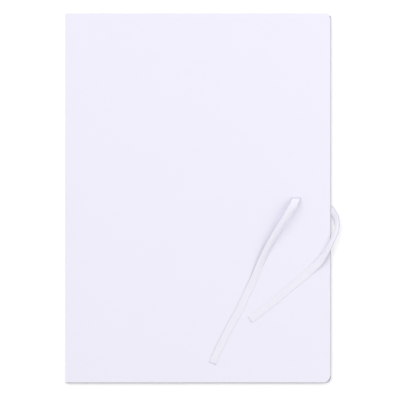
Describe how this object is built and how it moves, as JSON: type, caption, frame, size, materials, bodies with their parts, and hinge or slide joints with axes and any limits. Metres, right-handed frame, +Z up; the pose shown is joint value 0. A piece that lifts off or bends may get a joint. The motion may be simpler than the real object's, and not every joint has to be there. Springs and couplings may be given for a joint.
{
  "type": "tie-closure file folder",
  "caption": "Flat white card document folder with a swinging front cover, folded-in inner flaps and woven tape ties that close it at the fore-edge.",
  "frame": {"origin": "on the surface that the shut folder lies on, under the middle of the covers", "axes": "+X from the spine to the fore-edge, +Y from the tail to the head along the spine, +Z up out of the front cover"},
  "size_m": [0.2373, 0.32, 0.0111],
  "materials": {
    "cover_card": "smooth matt white card with a faint cool tint",
    "woven_tape": "plain woven white cotton tape",
    "patch_paper": "uncoated gummed paper"
  },
  "bodies": {
    "root": {"back_cover": "cover_card", "back_tie_tape": "woven_tape", "back_anchor_patch": "patch_paper"},
    "front": {"front_cover": "cover_card", "front_tie_tape": "woven_tape", "front_anchor_patch": "patch_paper"}
  },
  "joints": [
    {"name": "cover_hinge", "type": "hinge", "parent": "root", "child": "front", "pos_m": [-0.115, 0, 0.0017], "axis": [0, -1, 0], "range_deg": [0, 175], "deforming": ["back_tie_tape"]}
  ]
}
